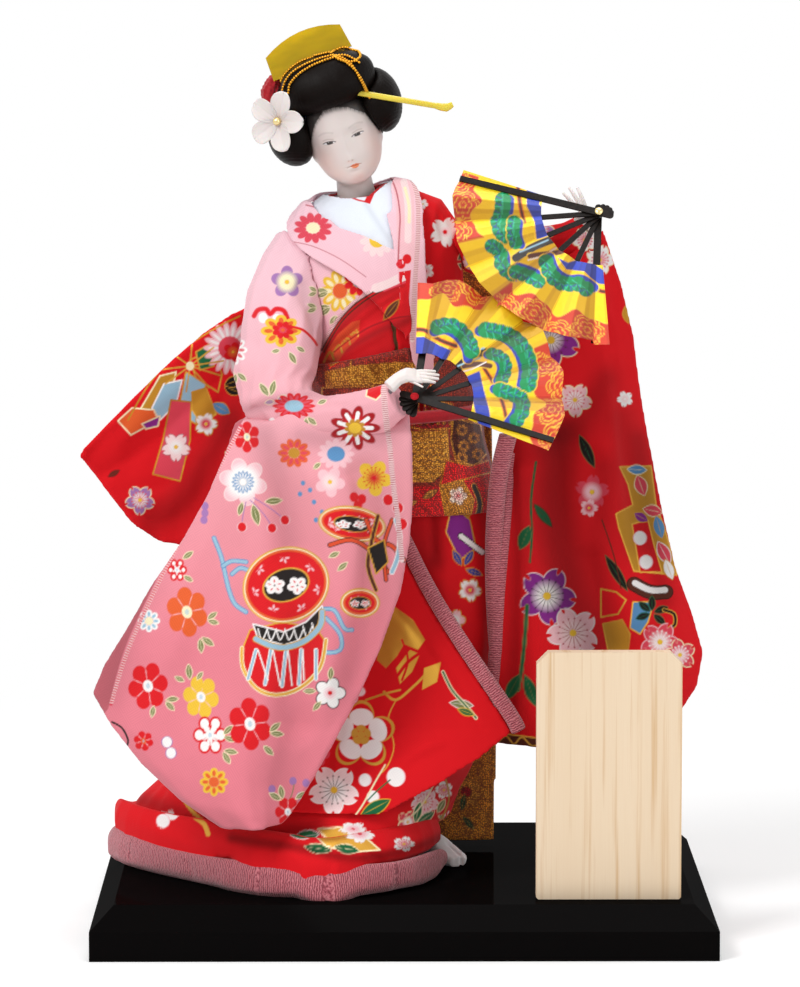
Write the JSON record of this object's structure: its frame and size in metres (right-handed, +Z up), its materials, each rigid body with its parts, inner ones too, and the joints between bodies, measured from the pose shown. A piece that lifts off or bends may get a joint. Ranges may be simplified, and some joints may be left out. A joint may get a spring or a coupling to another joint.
{
  "type": "standing doll",
  "caption": "Standing doll in layered silk kimono with two folding fans, on a bevelled lacquered stand with a bare wooden name board.",
  "frame": {"origin": "centre of the stand's underside", "axes": "+Z up, the doll faces -Y, its right hand is on the -X side"},
  "size_m": [0.312, 0.24, 0.4418],
  "materials": {
    "lacquer": "black high-gloss lacquer over wood",
    "bare_wood": "planed bare softwood with fine straight grain",
    "straw": "bound straw body",
    "pink_crepe": "pink figured crepe with printed flowers and drums",
    "red_brocade": "red figured crepe with printed flowers and bundles",
    "old_rose_crepe": "padded old-rose crepe edging",
    "gold_brocade": "gold and brown woven brocade",
    "white_cloth": "white cotton and plain white silk",
    "shell_white": "polished shell-white over composition, painted face",
    "hair": "combed black silk floss",
    "amber": "clear amber comb and pin",
    "gold_cord": "twisted gold thread",
    "petal_cloth": "stiffened white petals with a gold bead",
    "fan_stick": "dark lacquered bamboo",
    "fan_leaf": "pleated gold paper with painted clouds and pines",
    "steel": "bent arm wire"
  },
  "bodies": {
    "doll": {"stand_base": "lacquer", "leg_peg_left": "bare_wood", "leg_peg_right": "bare_wood", "neck_dowel": "bare_wood", "stuffed_body": "straw", "bodice_right": "pink_crepe", "collar_pink_left": "pink_crepe", "collar_pink_right": "pink_crepe", "sleeve_right_arm": "pink_crepe", "sleeve_right_hang": "pink_crepe", "skirt": "red_brocade", "skirt_flap": "red_brocade", "hem_roll_red": "red_brocade", "bodice_left": "red_brocade", "collar_red": "red_brocade", "obi_sash": "red_brocade", "sleeve_left_arm": "red_brocade", "sleeve_left_hang": "red_brocade", "sleeve_right_outer": "red_brocade", "hem_roll_pink": "old_rose_crepe", "flap_piping": "old_rose_crepe", "sleeve_left_piping": "old_rose_crepe", "obi": "gold_brocade", "obi_knot": "gold_brocade", "obi_tail_left": "gold_brocade", "obi_tail_right": "gold_brocade", "foot_left": "white_cloth", "foot_right": "white_cloth", "collar_white": "white_cloth", "hand_right": "shell_white", "hand_left": "shell_white", "arm_wire_right": "steel", "arm_wire_left": "steel", "fan_low_guard_front": "fan_stick", "fan_low_leaf": "fan_leaf", "fan_high_guard_back": "fan_stick", "fan_high_leaf": "fan_leaf"},
    "name_board": {"name_board": "bare_wood", "name_board_stay": "bare_wood"},
    "head": {"head": "shell_white", "hair_front": "hair", "hair_side_right": "hair", "hair_side_left": "hair", "hair_nape": "hair", "hair_knot": "hair", "gold_cord": "gold_cord", "hair_crepe": "red_brocade"},
    "comb": {"comb": "amber"},
    "hairpin": {"hairpin": "amber"},
    "hair_flower": {"hair_flower": "petal_cloth"},
    "fan_low_rib_1": {"fan_low_rib_1": "fan_stick"},
    "fan_low_rib_2": {"fan_low_rib_2": "fan_stick"},
    "fan_low_rib_3": {"fan_low_rib_3": "fan_stick"},
    "fan_low_rib_4": {"fan_low_rib_4": "fan_stick"},
    "fan_low_guard_back": {"fan_low_guard_back": "fan_stick"},
    "fan_high_rib_4": {"fan_high_rib_4": "fan_stick"},
    "fan_high_rib_3": {"fan_high_rib_3": "fan_stick"},
    "fan_high_rib_2": {"fan_high_rib_2": "fan_stick"},
    "fan_high_rib_1": {"fan_high_rib_1": "fan_stick"},
    "fan_high_guard_front": {"fan_high_guard_front": "fan_stick"}
  },
  "joints": [
    {"name": "board_lift", "type": "slide", "parent": "doll", "child": "name_board", "axis": [0, 0, 1], "range_m": [0, 0.06]},
    {"name": "head_turn", "type": "hinge", "parent": "doll", "child": "head", "pos_m": [-0.0223, 0.002, 0.3553], "axis": [-0.1562, -0.0599, 0.9859], "range_deg": [-15, 15]},
    {"name": "comb_pull", "type": "slide", "parent": "head", "child": "comb", "axis": [-0.4063, 0.1569, 0.9002], "range_m": [0, 0.03]},
    {"name": "hairpin_pull", "type": "slide", "parent": "head", "child": "hairpin", "axis": [0.9862, 0.0007, -0.1657], "range_m": [0, 0.045]},
    {"name": "flower_pull", "type": "slide", "parent": "head", "child": "hair_flower", "axis": [-0.4749, -0.8797, -0.0237], "range_m": [0, 0.02]},
    {"name": "fan_low_rib_1_fold", "type": "hinge", "parent": "doll", "child": "fan_low_rib_1", "pos_m": [0.005, -0.088, 0.2663], "axis": [0, -0.766, 0.6428], "range_deg": [-20, 0], "deforming": ["fan_low_leaf"]},
    {"name": "fan_low_rib_2_fold", "type": "hinge", "parent": "fan_low_rib_1", "child": "fan_low_rib_2", "pos_m": [0.005, -0.088, 0.2663], "axis": [0, -0.766, 0.6428], "range_deg": [-20, 0], "deforming": ["fan_low_leaf"]},
    {"name": "fan_low_rib_3_fold", "type": "hinge", "parent": "fan_low_rib_2", "child": "fan_low_rib_3", "pos_m": [0.005, -0.088, 0.2663], "axis": [0, -0.766, 0.6428], "range_deg": [-20, 0], "deforming": ["fan_low_leaf"]},
    {"name": "fan_low_rib_4_fold", "type": "hinge", "parent": "fan_low_rib_3", "child": "fan_low_rib_4", "pos_m": [0.005, -0.088, 0.2663], "axis": [0, -0.766, 0.6428], "range_deg": [-20, 0], "deforming": ["fan_low_leaf"]},
    {"name": "fan_low_guard_back_fold", "type": "hinge", "parent": "fan_low_rib_4", "child": "fan_low_guard_back", "pos_m": [0.005, -0.088, 0.2663], "axis": [0, -0.766, 0.6428], "range_deg": [-20, 0], "deforming": ["fan_low_leaf"]},
    {"name": "fan_high_rib_4_fold", "type": "hinge", "parent": "doll", "child": "fan_high_rib_4", "pos_m": [0.095, -0.03, 0.3513], "axis": [0, -0.829, 0.5592], "range_deg": [0, 20], "deforming": ["fan_high_leaf"]},
    {"name": "fan_high_rib_3_fold", "type": "hinge", "parent": "fan_high_rib_4", "child": "fan_high_rib_3", "pos_m": [0.095, -0.03, 0.3513], "axis": [0, -0.829, 0.5592], "range_deg": [0, 20], "deforming": ["fan_high_leaf"]},
    {"name": "fan_high_rib_2_fold", "type": "hinge", "parent": "fan_high_rib_3", "child": "fan_high_rib_2", "pos_m": [0.095, -0.03, 0.3513], "axis": [0, -0.829, 0.5592], "range_deg": [0, 20], "deforming": ["fan_high_leaf"]},
    {"name": "fan_high_rib_1_fold", "type": "hinge", "parent": "fan_high_rib_2", "child": "fan_high_rib_1", "pos_m": [0.095, -0.03, 0.3513], "axis": [0, -0.829, 0.5592], "range_deg": [0, 20], "deforming": ["fan_high_leaf"]},
    {"name": "fan_high_guard_front_fold", "type": "hinge", "parent": "fan_high_rib_1", "child": "fan_high_guard_front", "pos_m": [0.095, -0.03, 0.3513], "axis": [0, -0.829, 0.5592], "range_deg": [0, 20], "deforming": ["fan_high_leaf"]}
  ],
  "couplings": [
    {"joint": "fan_low_rib_2_fold", "follows": "fan_low_rib_1_fold", "ratio": 1},
    {"joint": "fan_low_rib_3_fold", "follows": "fan_low_rib_1_fold", "ratio": 1},
    {"joint": "fan_low_rib_4_fold", "follows": "fan_low_rib_1_fold", "ratio": 1},
    {"joint": "fan_low_guard_back_fold", "follows": "fan_low_rib_1_fold", "ratio": 1},
    {"joint": "fan_high_rib_3_fold", "follows": "fan_high_rib_4_fold", "ratio": 1},
    {"joint": "fan_high_rib_2_fold", "follows": "fan_high_rib_4_fold", "ratio": 1},
    {"joint": "fan_high_rib_1_fold", "follows": "fan_high_rib_4_fold", "ratio": 1},
    {"joint": "fan_high_guard_front_fold", "follows": "fan_high_rib_4_fold", "ratio": 1}
  ]
}
